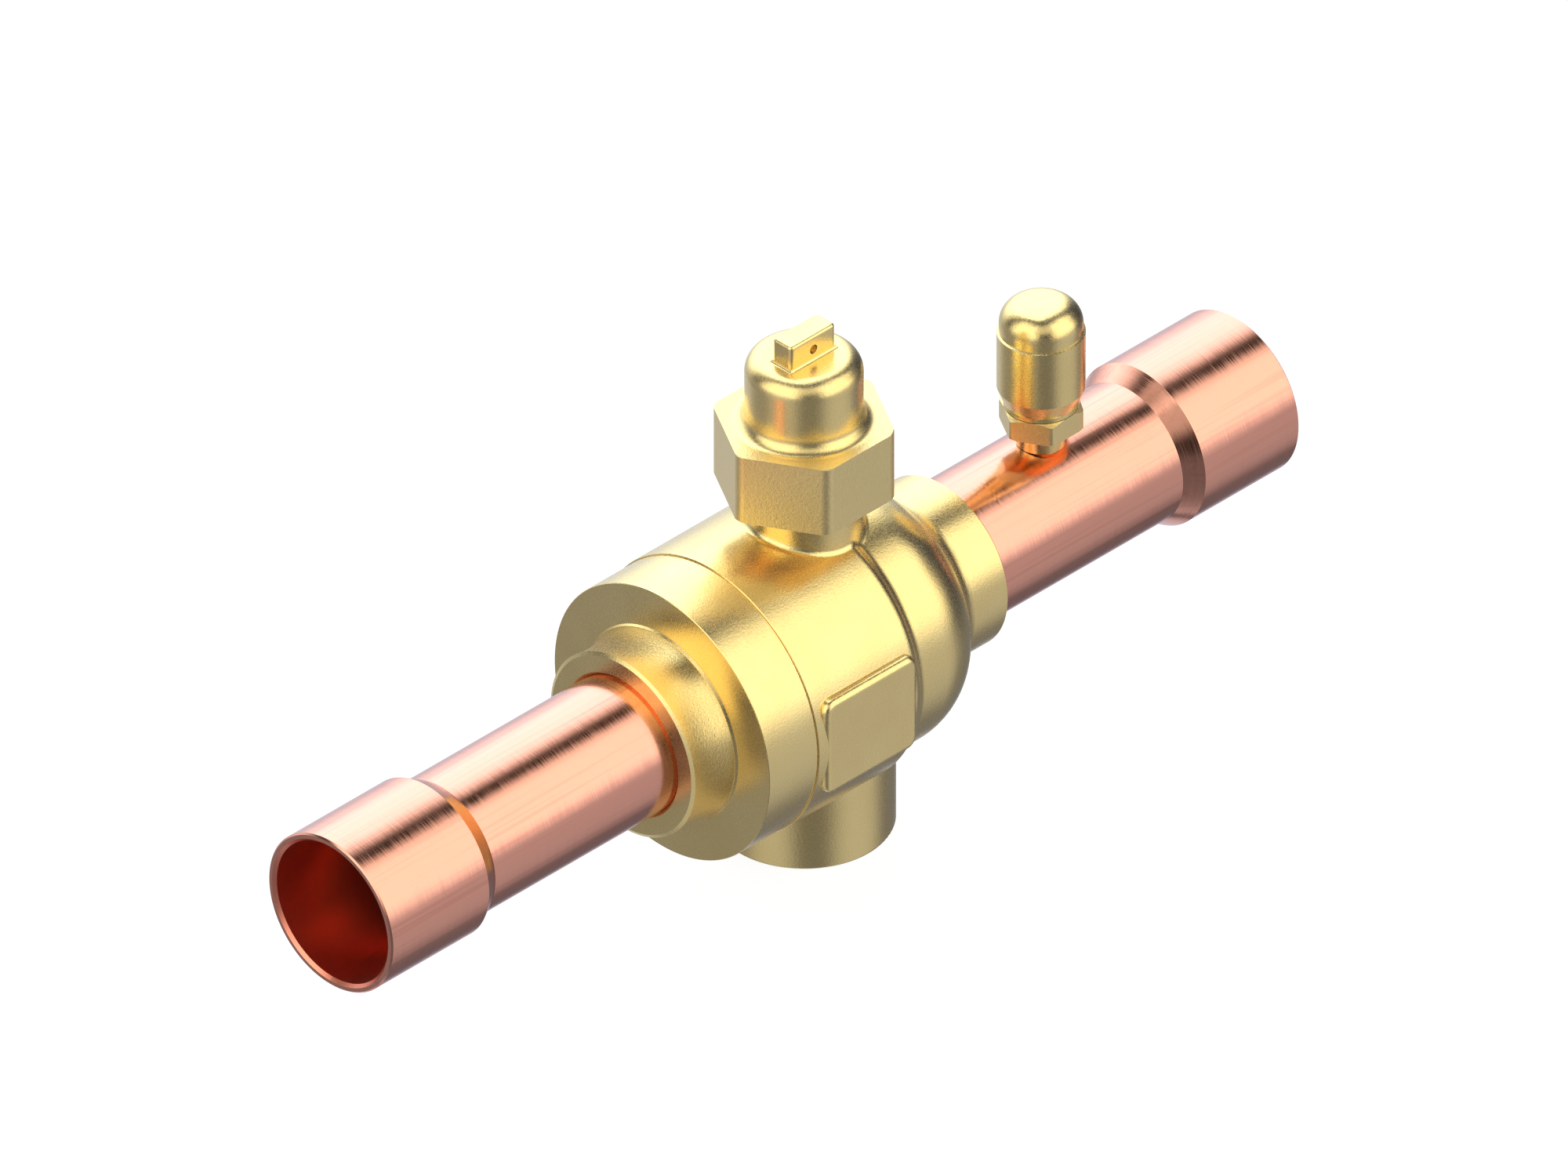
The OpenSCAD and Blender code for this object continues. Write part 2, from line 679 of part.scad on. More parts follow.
module seal_cap() color(brass) at_axis() difference() {
    union() {
        translate([0, 0, cap_z]) nut_prism(cap_af, cap_hex_round, cap_hex_len, 0.25, 0.25);
        turned_z() {
            difference() {
                translate([0, cap_z + 1]) square([cap_r, cap_top - cap_z - 1]);
                translate([cap_r, cap_top]) rotate(180) corner_bit(cap_dome_round);
            }
            translate([cap_r, cap_hex_top]) corner_bit(cap_fillet);
        }
        translate([0, 0, cap_top]) sealing_tab();
    }
    turned_z() polygon([
        [0, cap_z - eps], [cap_bore_r + 0.6, cap_z - eps], [cap_bore_r + 0.6, cap_z],
        [cap_bore_r, cap_z + 0.6], [cap_bore_r, gasket_top],
        [cap_hollow_r, gasket_top], [cap_hollow_r, cap_top - cap_roof - 1.5],
        [cap_hollow_r - 1.5, cap_top - cap_roof], [0, cap_top - cap_roof]
    ]);
    translate([0, 0, cap_top + wire_hole_z]) rotate([90, 0, 0])
        cylinder(d = wire_hole_d, h = 2 * tab_t, center = true, $fn = 48);
}

module cap_gasket() {
    inner = stop_r + loose_gap;
    color(white_plastic) at_axis() translate([0, 0, neck_top]) turned_z()
        translate([inner, 0]) square([cap_bore_r - loose_gap - inner, cap_gasket_t]);
}

module port_fitting() {
    relief = 1.3;
    turns = floor((port_len - relief - 2.6) / port_pitch);
    start = port_hex_top + relief;
    nose_z = port_mouth - 1.6;
    spigot_end = flow_r - 0.3;
    color(brass) at_axis() translate([port_x, 0, 0]) difference() {
        union() {
            turned_z() polygon(concat(
                [[0, spigot_end], [spigot_d / 2, spigot_end], [spigot_d / 2, port_neck_z],
                    [port_neck_d / 2, port_neck_z], [port_neck_d / 2, start - 0.4]],
                thread_points(port_thread_r, port_pitch, start, turns),
                [[port_thread_r, nose_z], [port_thread_r - 0.9, nose_z],
                    [port_thread_r - 2.5, port_mouth], [0, port_mouth]]
            ));
            translate([0, 0, port_hex_z]) nut_prism(port_af, port_hex_round, port_hex_len, 0.4, 0.9);
        }
        turned_z() polygon([
            [0, spigot_end - eps], [1.5, spigot_end - eps], [1.5, port_hex_z + 1],
            [core_chamber_r, port_hex_z + 1.6], [core_chamber_r, core_seat_z],
            [core_bore_r, core_seat_z + core_seat_cone], [core_bore_r, port_mouth + eps],
            [0, port_mouth + eps]
        ]);
    }
}

module core_body() color(brass) at_axis() translate([port_x, 0, 0]) difference() {
    union() {
        turned_z() polygon([
            [0, core_foot_z], [core_barrel_r - 0.3, core_foot_z],
            [core_barrel_r, core_foot_z + 0.3], [core_barrel_r, core_head_z],
            [core_bore_r - running_gap, core_head_z + 0.4],
            [core_bore_r - running_gap, core_top - 1.2], [0, core_top - 1.2]
        ]);
        intersection() {
            translate([0, 0, core_head_z]) cylinder(r = core_bore_r - running_gap, h = core_top - core_head_z);
            translate([0, 0, core_top - 1]) cube([2 * core_bore_r, 1.7, 2], center = true);
        }
    }
    translate([0, 0, core_foot_z - eps]) cylinder(r = core_guide_r, h = core_well_z - core_foot_z + 2 * eps, $fn = 48);
    translate([0, 0, core_well_z]) cylinder(r = core_well_r, h = core_top - core_well_z + eps, $fn = 48);
}

module core_seal() {
    outer = core_bore_r - running_gap;
    inner = core_barrel_r + running_gap;
    color(white_plastic) at_axis() translate([port_x, 0, 0]) turned_z() polygon([
        [inner, core_seat_z], [core_chamber_r - running_gap, core_seat_z],
        [outer, core_seat_z + core_seat_cone + running_gap], [outer, core_head_z - loose_gap],
        [inner, core_head_z - loose_gap]
    ]);
}

module core_pin() {
    foot = core_foot_z - core_disc_t - loose_gap;
    color(brass) at_axis() translate([port_x, 0, 0]) turned_z() polygon([
        [0, foot - 0.7], [core_disc_r + 0.1, foot - 0.7], [core_disc_r + 0.1, foot],
        [core_pin_r, foot], [core_pin_r, collar_z], [core_well_r - 0.15, collar_z],
        [core_well_r - 0.15, collar_z + 0.6], [core_pin_r, collar_z + 0.6],
        [core_pin_r, core_top + 0.4], [core_pin_r - 0.2, core_top + 0.6], [0, core_top + 0.6]
    ]);
}

module core_disc() {
    color(black_rubber) at_axis() translate([port_x, 0, core_foot_z - core_disc_t - loose_gap])
        turned_z() translate([core_pin_r + running_gap, 0])
            square([core_disc_r - core_pin_r - running_gap, core_disc_t]);
}

// Coil spring as a six sided wire swept along a helix from z0 to z1
module coil(mean_r, wire_d, z0, z1, turns) {
    sides = 6;
    steps = 14 * turns;
    pitch = (z1 - z0 - wire_d) / turns;
    points = [for (i = [0:steps], k = [0 : sides - 1])
        let (a = 360 * i * turns / steps, b = 360 * k / sides, r = mean_r + wire_d / 2 * cos(b))
            [r * cos(a), r * sin(a), z0 + wire_d / 2 + pitch * turns * i / steps
                + wire_d / 2 * sin(b)]];
    walls = [for (i = [0 : steps - 1], k = [0 : sides - 1])
        let (n = (k + 1) % sides)
            [i * sides + k, (i + 1) * sides + k, (i + 1) * sides + n, i * sides + n]];
    ends = [[for (k = [0 : sides - 1]) k], [for (k = [sides - 1 : -1 : 0]) steps * sides + k]];
    polyhedron(points, concat(walls, ends));
}

module core_spring() color(steel) at_axis() translate([port_x, 0, 0])
    coil(spring_r, spring_wire_d, core_well_z + running_gap, collar_z - running_gap, spring_turns);

module port_cap() color(brass) at_axis() translate([port_x, 0, port_cap_z]) difference() {
    turned_z() difference() {
        polygon([
            [0, 0], [port_cap_rim_od / 2, 0], [port_cap_rim_od / 2, 0.8],
            [port_cap_r, port_taper_z], [port_cap_r, port_ledge_z],
            [port_cap_top_r, port_ledge_z + 0.2], [port_cap_top_r, port_cap_len],
            [0, port_cap_len]
        ]);
        translate([port_cap_top_r, port_cap_len]) rotate(180) corner_bit(port_dome_round);
    }
    turned_z() polygon([
        [0, -eps], [port_cap_bore_r + 0.5, -eps], [port_cap_bore_r + 0.5, 0],
        [port_cap_bore_r, 0.5], [port_cap_bore_r, port_roof_z - port_cap_z],
        [3, port_roof_z - port_cap_z], [3, port_roof_z - port_cap_z + 1.4],
        [0, port_roof_z - port_cap_z + 1.4]
    ]);
}

module port_cap_gasket() {
    inner = core_bore_r + 0.1;
    color(white_plastic) at_axis() translate([port_x, 0, port_mouth]) turned_z()
        translate([inner, 0]) square([port_cap_bore_r - loose_gap - inner, port_gasket_t]);
}

valve_body();
end_connector();
front_tube();
rear_tube();
joint_seal_ring();
ball();
front_seat();
rear_seat();
front_seat_ring();
rear_seat_ring();
stem();
thrust_washer();
lower_stem_ring();
upper_stem_ring();
stop_pin();
seal_cap();
cap_gasket();
port_fitting();
core_body();
core_seal();
core_pin();
core_disc();
core_spring();
port_cap();
port_cap_gasket();
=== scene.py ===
"""Shut-off ball valve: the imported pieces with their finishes, in a plain white studio.

Metres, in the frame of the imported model. X runs along the flow and Z up the stem.
"""

import math

import bpy
import numpy as np
from mathutils import Matrix, Vector


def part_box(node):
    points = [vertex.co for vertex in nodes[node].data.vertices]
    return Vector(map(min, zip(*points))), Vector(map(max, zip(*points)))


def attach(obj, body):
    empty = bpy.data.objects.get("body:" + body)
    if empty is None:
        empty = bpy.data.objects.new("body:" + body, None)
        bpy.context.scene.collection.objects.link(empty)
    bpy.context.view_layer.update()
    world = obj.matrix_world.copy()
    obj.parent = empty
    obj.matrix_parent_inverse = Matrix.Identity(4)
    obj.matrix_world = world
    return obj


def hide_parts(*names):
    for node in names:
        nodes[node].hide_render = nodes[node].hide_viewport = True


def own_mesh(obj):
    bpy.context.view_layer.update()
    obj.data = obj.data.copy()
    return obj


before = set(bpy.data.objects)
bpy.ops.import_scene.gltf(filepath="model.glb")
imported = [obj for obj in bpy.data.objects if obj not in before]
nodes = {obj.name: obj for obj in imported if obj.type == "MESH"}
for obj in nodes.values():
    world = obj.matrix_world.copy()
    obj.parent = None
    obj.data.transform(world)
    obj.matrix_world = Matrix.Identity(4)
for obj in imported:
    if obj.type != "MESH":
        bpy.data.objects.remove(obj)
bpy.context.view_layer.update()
MM = 0.001

# Camera. The view has no perspective and looks down at equal angles to all three axes.
# The picture is 2000 pixels wide at 7 pixels to a millimetre of the valve.
AXIS_HEIGHT = 39.5 * MM
PICTURE_WIDTH = 2000 / 7 * MM
OFF_CENTRE = Vector((-3.64, 9.46)) * MM
CAMERA_DISTANCE = 1.0

axis_crossing = Vector((0, 0, AXIS_HEIGHT))
to_camera = Vector((-1, -1, 1)).normalized()
right = Vector((1, -1, 0)).normalized()
up = to_camera.cross(right)
camera_data = bpy.data.cameras.new("camera")
camera_data.type = "ORTHO"
camera_data.ortho_scale = PICTURE_WIDTH
camera = bpy.data.objects.new("camera", camera_data)
aim = axis_crossing + right * OFF_CENTRE.x + up * OFF_CENTRE.y
turn = Matrix((right, up, to_camera)).transposed().to_4x4()
camera.matrix_world = Matrix.Translation(aim + to_camera * CAMERA_DISTANCE) @ turn
bpy.context.scene.collection.objects.link(camera)
bpy.context.scene.camera = camera
bpy.context.scene.view_settings.view_transform = "Standard"


# Studio. The camera sees plain white at strength 1. The metal mirrors three soft boxes that stand
# round the valve, a strong one behind it and one to each side of the camera, with a dim bridge
# between these two and a deep dark gap to the right. Below them is a grey room with paler places.
#
# A place of light is the compass angle of its centre, the degrees to each side in which it is
# even, the degrees at which it has faded out, and its strength. The camera stands at 225 degrees.
REAR_BOX = (63, 18, 60)
REAR_LIGHT = 2.15
RIGHT_BOX = (300, 27, 53, 1.6)
LEFT_BOX = (178, 26, 46, 1.6)
BRIDGE = (235, 8, 36, 0.65)
DEEP_GAP = (356, 14, 38, 0.88)
LOW_PLACES = (
    (100, 0, 75, 0.11),
    (70, 0, 48, 0.34),
    (183, 0, 40, 0.35),
    (297, 0, 48, 0.35),
    (47, 0, 25, 0.175),
)
GAP_LIGHT = 0.03
LOW_LIGHT = 0.17

# A fade is the two heights between which a light comes or goes, where 0 is level with the valve,
# 1 is straight up and -1 straight down.
ROOM_TOP = (-0.2, 0.2)
REAR_FOOT = (-0.28, 0.38)
BRIDGE_FOOT = (0.3, 0.62)
BOX_TOP = (0.83, 0.96)
GAP_FOOT = (-0.45, -0.15)
GAP_TOP = (0.38, 0.62)
COOL_FOOT = (-0.7, -0.3)

# The light from behind is cooler than the boxes beside the camera, and the room below is bluish.
COOL_TINT = (0.9, 1.0, 1.2, 1.0)
LOW_TINT = (1.0, 1.04, 1.26, 1.0)
WHITE = (1.0, 1.0, 1.0, 1.0)


def fill(tree, node, inputs):
    """Gives a node's inputs their values, and links those that come as sockets."""
    for name, value in inputs.items():
        if isinstance(value, bpy.types.NodeSocket):
            tree.links.new(value, node.inputs[name])
        else:
            node.inputs[name].default_value = value


def add(tree, kind, inputs=None, out=0, **settings):
    """Adds a node with its settings and inputs, and returns one of its outputs."""
    node = tree.nodes.new(kind)
    for name, value in settings.items():
        setattr(node, name, value)
    fill(tree, node, inputs or {})
    return node.outputs[out] if node.outputs else None


def place_of_light(tree, compass, centre, even, faded, light=1.0):
    """Light that is even within some degrees of a compass angle and has faded out further away."""
    angle = math.radians(centre)
    facing = add(
        tree,
        "ShaderNodeVectorMath",
        {0: compass, 1: (math.cos(angle), math.sin(angle), 0)},
        out="Value",
        operation="DOT_PRODUCT",
    )
    edge, core = math.cos(math.radians(faded)), math.cos(math.radians(even))
    return add(
        tree,
        "ShaderNodeMapRange",
        {"Value": facing, "From Min": edge, "From Max": core, "To Max": light},
        interpolation_type="SMOOTHSTEP",
    )


world = bpy.data.worlds.new("white_studio")
world.use_nodes = True
bpy.context.scene.world = world
sky = world.node_tree
sky.nodes.clear()
direction = add(sky, "ShaderNodeTexCoord", out="Generated")
compass = add(sky, "ShaderNodeVectorMath", {0: direction, 1: (1, 1, 0)}, operation="MULTIPLY")
compass = add(sky, "ShaderNodeVectorMath", {0: compass}, operation="NORMALIZE")
height = add(sky, "ShaderNodeSeparateXYZ", {"Vector": direction}, out="Z")

# The boxes beside the camera and the bridge between them, up to the height where they end.
right_box = place_of_light(sky, compass, *RIGHT_BOX)
left_box = place_of_light(sky, compass, *LEFT_BOX)
boxes = add(sky, "ShaderNodeMath", {0: right_box, 1: left_box}, operation="ADD")
above_bridge_foot = add(
    sky,
    "ShaderNodeMapRange",
    {"Value": height, "From Min": BRIDGE_FOOT[0], "From Max": BRIDGE_FOOT[1]},
    interpolation_type="SMOOTHSTEP",
)
bridge = place_of_light(sky, compass, *BRIDGE)
bridge = add(sky, "ShaderNodeMath", {0: above_bridge_foot, 1: bridge}, operation="MULTIPLY")
boxes = add(sky, "ShaderNodeMath", {0: boxes, 1: bridge}, operation="MAXIMUM")
below_top = add(
    sky,
    "ShaderNodeMapRange",
    {"Value": height, "From Min": BOX_TOP[0], "From Max": BOX_TOP[1], "To Min": 1.0, "To Max": 0.0},
    interpolation_type="SMOOTHSTEP",
)
upper = add(
    sky, "ShaderNodeMath", {0: boxes, 1: below_top, 2: GAP_LIGHT}, operation="MULTIPLY_ADD"
)

# The room below, the strong box behind, which reaches down into it, and the deep gap.
lower = LOW_LIGHT
for low_place in LOW_PLACES:
    pale = place_of_light(sky, compass, *low_place)
    lower = add(sky, "ShaderNodeMath", {0: pale, 1: lower}, operation="ADD")
above_room = add(
    sky,
    "ShaderNodeMapRange",
    {"Value": height, "From Min": ROOM_TOP[0], "From Max": ROOM_TOP[1]},
    interpolation_type="SMOOTHSTEP",
)
room = add(sky, "ShaderNodeMix", {0: above_room, 2: lower, 3: upper}, data_type="FLOAT")
behind = place_of_light(sky, compass, *REAR_BOX)
rear_light = add(
    sky,
    "ShaderNodeMapRange",
    {"Value": height, "From Min": REAR_FOOT[0], "From Max": REAR_FOOT[1], "To Max": REAR_LIGHT},
    interpolation_type="SMOOTHSTEP",
)
room = add(
    sky, "ShaderNodeMath", {0: behind, 1: rear_light, 2: room}, operation="MULTIPLY_ADD"
)
gap = place_of_light(sky, compass, *DEEP_GAP)
below_gap_top = add(
    sky,
    "ShaderNodeMapRange",
    {"Value": height, "From Min": GAP_TOP[0], "From Max": GAP_TOP[1], "To Min": 1.0, "To Max": 0.0},
    interpolation_type="SMOOTHSTEP",
)
above_gap_foot = add(
    sky, "ShaderNodeMapRange", {"Value": height, "From Min": GAP_FOOT[0], "From Max": GAP_FOOT[1]}
)
for limit in (below_gap_top, above_gap_foot):
    gap = add(sky, "ShaderNodeMath", {0: gap, 1: limit}, operation="MULTIPLY")
kept = add(sky, "ShaderNodeMath", {0: 1.0, 1: gap}, operation="SUBTRACT")
room = add(sky, "ShaderNodeMath", {0: room, 1: kept}, operation="MULTIPLY")

# Rays from the camera, and those that pass through a clear thing, see white instead.
seen = [add(sky, "ShaderNodeLightPath", out=ray) for ray in ("Is Camera Ray", "Is Transmission Ray")]
plain = add(sky, "ShaderNodeMath", {0: seen[0], 1: seen[1]}, operation="MAXIMUM")
strength = add(sky, "ShaderNodeMix", {0: plain, 2: room, 3: 1.0}, data_type="FLOAT")
above_cool_foot = add(
    sky, "ShaderNodeMapRange", {"Value": height, "From Min": COOL_FOOT[0], "From Max": COOL_FOOT[1]}
)
cool = add(sky, "ShaderNodeMath", {0: behind, 1: above_cool_foot}, operation="MULTIPLY")
tint = LOW_TINT
for share, next_tint in ((above_room, WHITE), (cool, COOL_TINT), (plain, WHITE)):
    tint = add(sky, "ShaderNodeMix", {0: share, 6: tint, 7: next_tint}, out=2, data_type="RGBA")
background = add(sky, "ShaderNodeBackground", {"Color": tint, "Strength": strength})
add(sky, "ShaderNodeOutputWorld", {"Surface": background})


# Floor. A white table top that glows just enough to come out as white as the background, so
# that only a faint shadow shows under the boss. The metal doesn't mirror it.
FLOOR_SIZE = 1.6
FLOOR_DROP = 0.05 * MM
FLOOR_GLOW = 0.9


def linear(hex_colour):
    """An sRGB colour such as "F3DFA4" as linear RGBA."""
    c = np.array([int(hex_colour[k : k + 2], 16) for k in (0, 2, 4)]) / 255
    rgb = np.where(c <= 0.04045, c / 12.92, ((c + 0.055) / 1.055) ** 2.4)
    return (*rgb.tolist(), 1.0)


def new_material(name, metallic=0.0, colour="808080", roughness=0.5):
    """A material, its node tree and its principled shader."""
    material = bpy.data.materials.new(name)
    material.use_nodes = True
    tree = material.node_tree
    shader = tree.nodes["Principled BSDF"]
    fill(tree, shader, {"Metallic": metallic, "Base Color": linear(colour), "Roughness": roughness})
    return material, tree, shader


half = FLOOR_SIZE / 2
corners = ((-half, -half), (half, -half), (half, half), (-half, half))
floor_mesh = bpy.data.meshes.new("floor")
floor_mesh.from_pydata([(x, y, -FLOOR_DROP) for x, y in corners], [], [(0, 1, 2, 3)])
floor = bpy.data.objects.new("floor", floor_mesh)
bpy.context.scene.collection.objects.link(floor)
table_top, tree, shader = new_material("white_table_top", colour="6C6C6C", roughness=0.9)
camera_ray = add(tree, "ShaderNodeLightPath", out="Is Camera Ray")
glow = add(tree, "ShaderNodeMath", {0: camera_ray, 1: FLOOR_GLOW}, operation="MULTIPLY")
fill(tree, shader, {"Emission Color": WHITE, "Emission Strength": glow})
floor_mesh.materials.append(table_top)
floor.visible_glossy = False


# Body. One hot forging in brass with its stem neck, rear collar, mounting boss and flat pad.
# It is turned where other parts meet it, then blasted, which leaves a fine worm-like grain
# under a thin dull film. The forging itself is slightly wavy.
GRAIN_WIDTH = 0.44 * MM
GRAIN_DEPTH = 0.022 * MM
WAVE_WIDTH = 8.0 * MM
WAVE_DEPTH = 0.02 * MM
SKIN_WIDTH = 0.5 * MM
SKIN_DEPTH = 0.07 * MM
SKIN_EDGE = 0.4 * MM
SKIN_HAZE = 0.1
FILM_ROUGHNESS = 0.8
FILM_IOR = 1.62
PALE_GOLD = "F8DC8D"
DEEP_GOLD = "F5D787"
SKIN_GOLD = "F3D98E"


def brass(name, roughness, depth=1.0, skin_round=None):
    """Blasted brass: pale gold with a worm-like grain, which shows where a reflection ends.

    The grain is drawn at nearly half a millimetre, coarser than the real one, so that it shows. The
    dull film, a rough coat, scatters a little white light, so the gold is never quite dark.
    skin_round is the X of an upright axis and the distance from it at which the metal is no longer
    turned, so it keeps its coarse forged skin, which scatters the light more.
    """
    material, tree, shader = new_material(name, metallic=1.0)
    place = add(tree, "ShaderNodeTexCoord", out="Object")
    grain = add(
        tree,
        "ShaderNodeTexNoise",
        {"Vector": place, "Scale": 1 / GRAIN_WIDTH, "Detail": 0.8, "Distortion": 0.7},
    )
    wave = add(tree, "ShaderNodeTexNoise", {"Vector": place, "Scale": 1 / WAVE_WIDTH, "Detail": 1.0})
    tone = add(tree, "ShaderNodeMapRange", {"Value": wave, "From Min": 0.35, "From Max": 0.68})
    colour = add(
        tree,
        "ShaderNodeMix",
        {0: tone, 6: linear(PALE_GOLD), 7: linear(DEEP_GOLD)},
        out=2,
        data_type="RGBA",
    )
    shine = add(
        tree,
        "ShaderNodeMapRange",
        {"Value": grain, "From Min": 0.3, "From Max": 0.7, "To Min": roughness - 0.03,
         "To Max": roughness + 0.04},
    )
    bumps = add(tree, "ShaderNodeBump", {"Height": wave, "Distance": WAVE_DEPTH})
    bumps = add(
        tree, "ShaderNodeBump", {"Height": grain, "Distance": GRAIN_DEPTH * depth, "Normal": bumps}
    )
    if skin_round:
        axis_x, reach = skin_round
        across = add(
            tree,
            "ShaderNodeMapping",
            {"Vector": place, "Location": (-axis_x, 0, 0), "Scale": (1, 1, 0)},
        )
        distance = add(
            tree, "ShaderNodeVectorMath", {0: across}, out="Value", operation="LENGTH"
        )
        skin = add(
            tree,
            "ShaderNodeMapRange",
            {"Value": distance, "From Min": reach - SKIN_EDGE, "From Max": reach + SKIN_EDGE},
            interpolation_type="SMOOTHSTEP",
        )
        worms = add(
            tree,
            "ShaderNodeTexNoise",
            {"Vector": place, "Scale": 1 / SKIN_WIDTH, "Detail": 1.0, "Distortion": 1.2},
        )
        bumps = add(
            tree,
            "ShaderNodeBump",
            {"Height": worms, "Distance": SKIN_DEPTH, "Strength": skin, "Normal": bumps},
        )
        shine = add(
            tree, "ShaderNodeMix", {0: skin, 2: shine, 3: roughness + SKIN_HAZE}, data_type="FLOAT"
        )
        colour = add(
            tree, "ShaderNodeMix", {0: skin, 6: colour, 7: linear(SKIN_GOLD)}, out=2, data_type="RGBA"
        )
    fill(tree, shader, {"Base Color": colour, "Roughness": shine, "Normal": bumps})
    fill(
        tree,
        shader,
        {"Coat Weight": 1.0, "Coat Roughness": FILM_ROUGHNESS, "Coat IOR": FILM_IOR},
    )
    return material


def finish_nodes(material, *names):
    """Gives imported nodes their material."""
    for name in names:
        nodes[name].material_slots[0].material = material


forged_brass = brass("blasted_forged_brass", roughness=0.25)
finish_nodes(forged_brass, "valve_body")


# Foot of the neck. The forging swells into the neck with a small fillet all round it, which the
# solid leaves out, as it follows the step in the body. A ball rolled round the corner makes it.
NECK_R = 10.8 * MM
FILLET_R = 1.4 * MM
FILLET_SUNK_IN = 0.6 * MM
FILLET_SUNK_DOWN = 0.8 * MM
BODY_R = 28.05 * MM
WAIST_R = 26.1 * MM
STEP_START = 0.7 * MM
STEP_LENGTH = 4.4 * MM
PROFILE_REACH = 18 * MM
CRISP_ANGLE = 38


def grid_piece(name, points, material, body="valve", ring=True):
    """A piece from a grid of points, shape (rows, columns, 3), whose columns go round a section.

    The last row joins the first in a ring. Otherwise both ends are flat. An edge over which the
    surface turns by more than the crisp angle, in degrees, is shaded crisp.
    """
    rows, columns, _ = points.shape
    here = np.arange(rows * columns).reshape(rows, columns)
    next_row = np.roll(here, -1, 0)
    quads = np.stack([here, next_row, np.roll(next_row, -1, 1), np.roll(here, -1, 1)], -1)
    if ring:
        faces = quads.reshape(-1, 4).tolist()
    else:
        faces = quads[:-1].reshape(-1, 4).tolist() + [here[0].tolist(), here[-1, ::-1].tolist()]
    mesh = bpy.data.meshes.new(name)
    mesh.from_pydata(points.reshape(-1, 3).tolist(), [], faces)
    mesh.shade_smooth()
    mesh.set_sharp_from_angle(angle=math.radians(CRISP_ANGLE))
    mesh.materials.append(material)
    piece = bpy.data.objects.new(name, mesh)
    bpy.context.scene.collection.objects.link(piece)
    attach(piece, body)
    return piece


def body_profile(count=800):
    """Radius of the body along X and its outward direction: two equal arcs join two cylinders.

    The first arc bends in from the body's cylinder and the second, from half of the step's length
    on, bends out to the waist's. Their radius follows from the step's length and rise.
    """
    rise = BODY_R - WAIST_R
    arc_r = (STEP_LENGTH**2 + rise**2) / (4 * rise)
    x = np.linspace(-PROFILE_REACH, PROFILE_REACH, count)
    t = np.clip(x - STEP_START, 0, STEP_LENGTH)
    first = BODY_R - arc_r + np.sqrt(arc_r**2 - np.minimum(t, STEP_LENGTH / 2) ** 2)
    rest = np.minimum(STEP_LENGTH - t, STEP_LENGTH / 2)
    second = WAIST_R + arc_r - np.sqrt(arc_r**2 - rest**2)
    radius = np.where(t < STEP_LENGTH / 2, first, second)
    slope = np.gradient(radius, x)
    size = np.sqrt(1 + slope**2)
    return x, radius, -slope / size, 1 / size


def neck_fillet(around=180, across=10):
    """The ball's centre keeps the fillet radius from the neck and from the body.

    Round the neck, its centre lies on a cylinder of neck plus ball radius. Its height comes from the
    body's profile moved outwards by the ball radius. The arc between the two places where the ball
    touches is the surface, and a point inside the metal closes each section. The columns run from
    that point over the body to the neck, so that the faces look outwards.
    """
    x, radius, out_x, out_r = body_profile()
    theta = np.linspace(0, 2 * np.pi, around, endpoint=False)
    reach = NECK_R + FILLET_R
    centre = np.stack([reach * np.cos(theta), reach * np.sin(theta)], -1)
    moved_x = np.maximum.accumulate(x + FILLET_R * out_x)
    moved_r = np.interp(centre[:, 0], moved_x, radius + FILLET_R * out_r)
    ball_height = np.sqrt(moved_r**2 - centre[:, 1] ** 2)
    centre = np.concatenate([centre, ball_height[:, None]], -1)
    to_neck = np.stack([-np.cos(theta), -np.sin(theta), 0 * theta], -1)
    down_x = -np.interp(centre[:, 0], moved_x, out_x)
    down_r = np.interp(centre[:, 0], moved_x, out_r)
    radial = np.stack([0 * theta, centre[:, 1], centre[:, 2]], -1) / moved_r[:, None]
    to_body = down_x[:, None] * np.array([1.0, 0, 0]) - down_r[:, None] * radial
    between = np.arccos(np.clip((to_neck * to_body).sum(-1), -1, 1))[:, None, None]
    t = np.linspace(0, 1, across)[None, :, None]
    arc = np.sin((1 - t) * between) * to_neck[:, None] + np.sin(t * between) * to_body[:, None]
    arc = centre[:, None] + FILLET_R * arc / np.sin(between)
    inside = (NECK_R - FILLET_SUNK_IN) / reach * centre
    inside[:, 2] = arc[:, -1, 2] - FILLET_SUNK_DOWN
    points = np.concatenate([arc, inside[:, None]], 1)
    points[..., 2] += AXIS_HEIGHT
    return points[:, ::-1]


grid_piece("neck_fillet", neck_fillet(), forged_brass)


# Neck thread. A metric fine thread, cut on the end of the neck for the seal cap, with a crest of
# 19.9 mm and a pitch of 1.5 mm. The solid is drawn at its root, and this is the ridge on it.
THREAD_CREST_R = 9.95 * MM
THREAD_ROOT_R = 9.02 * MM
THREAD_WALL = 0.45 * MM
THREAD_PITCH = 1.5 * MM
THREAD_FLANK = 1.75
THREAD_ROOT_SHARE = 0.3
THREAD_FOOT = 34.85 * MM
THREAD_TOP = 44.75 * MM
RUN_OUT = 0.6


